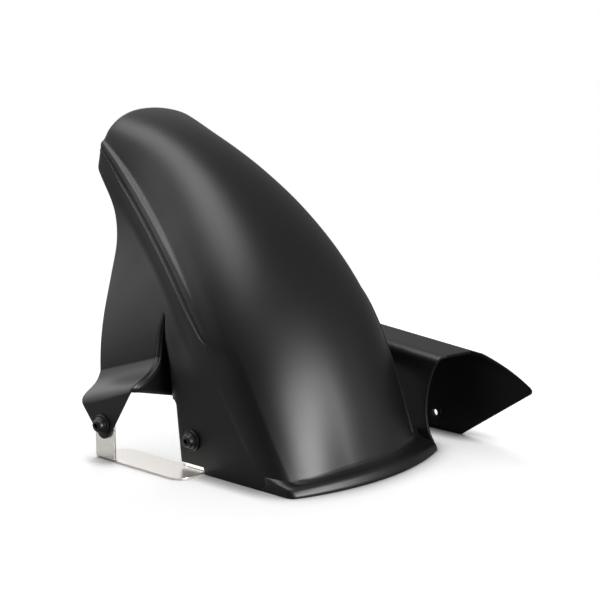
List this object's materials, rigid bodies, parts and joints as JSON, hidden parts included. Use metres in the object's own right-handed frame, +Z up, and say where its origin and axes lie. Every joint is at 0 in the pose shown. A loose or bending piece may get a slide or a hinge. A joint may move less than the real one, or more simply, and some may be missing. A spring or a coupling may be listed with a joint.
{
  "type": "motorcycle fender",
  "caption": "Rear motorcycle wheel fender: a swept moulded crown with a trimmed side, a folded mounting leg, an integral chain guard and a screwed steel bracket.",
  "frame": {"origin": "centre of the bounding box in plan, on the floor the fender stands on", "axes": "+X forward, from the crown's tip to the lip and the chain guard's point; +Y to the left, the chain side; +Z up"},
  "size_m": [0.3396, 0.2828, 0.2893],
  "materials": {
    "moulded_black": "fine matt grain, black throughout",
    "bracket_steel": "bright stainless sheet",
    "black_steel": "satin black coating",
    "nut_steel": "plain bright steel"
  },
  "bodies": {
    "root": {"fender_shell": "moulded_black", "bracket": "bracket_steel", "front_washer": "black_steel", "front_screw": "black_steel", "front_nut": "nut_steel", "rear_washer": "black_steel", "rear_screw": "black_steel", "rear_nut": "nut_steel"}
  },
  "joints": []
}
